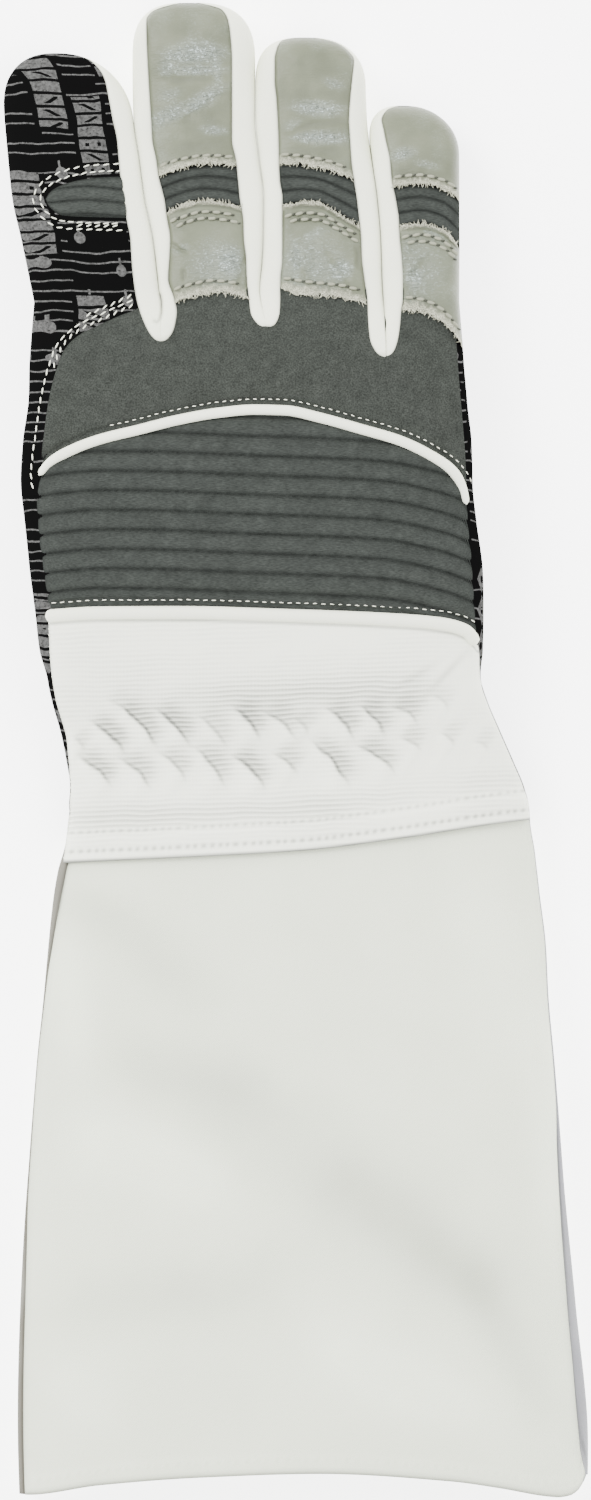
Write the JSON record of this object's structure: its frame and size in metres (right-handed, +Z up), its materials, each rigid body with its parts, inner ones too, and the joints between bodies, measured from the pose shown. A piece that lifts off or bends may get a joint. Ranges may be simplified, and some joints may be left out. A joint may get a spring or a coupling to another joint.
{
  "type": "fencing glove",
  "caption": "Right-hand fencing glove with a long flared cuff, padded ribbed back, leather fingertips, white fourchettes and an elastic knit wrist.",
  "frame": {"origin": "under the middle of the glove's outline, on the surface it lies on", "axes": "+Y from the cuff to the fingertips, +Z up out of the back of the hand, +X from the index finger's side to the little finger's side"},
  "size_m": [0.1528, 0.3914, 0.0349],
  "materials": {
    "white_cloth": "matt woven polyester",
    "knit": "ribbed knit with elastic rows",
    "black_print": "black with a light grey pattern",
    "grey_cloth": "napped, dark grey",
    "ribbed_cloth": "padded ribs, dark grey",
    "leather": "pearly, thin and wrinkled"
  },
  "bodies": {
    "root": {"palm": "black_print", "palm_wrist": "black_print", "index_finger": "black_print", "middle_underside": "black_print", "ring_underside": "black_print", "little_underside": "black_print", "thumb": "black_print", "index_knuckle_inset": "ribbed_cloth", "middle_tip": "leather", "middle_ribs": "ribbed_cloth", "middle_band": "leather", "ring_tip": "leather", "ring_ribs": "ribbed_cloth", "ring_band": "leather", "little_tip": "leather", "little_ribs": "ribbed_cloth", "little_band": "leather", "fourchette_index_middle": "white_cloth", "fourchette_middle_ring": "white_cloth", "fourchette_ring_little": "white_cloth", "back_panel": "grey_cloth", "arch_piping": "white_cloth", "ribbed_panel": "ribbed_cloth", "wrist_piping": "white_cloth", "wrist_band": "knit", "cuff_back": "white_cloth", "cuff_underside": "white_cloth"}
  },
  "joints": []
}
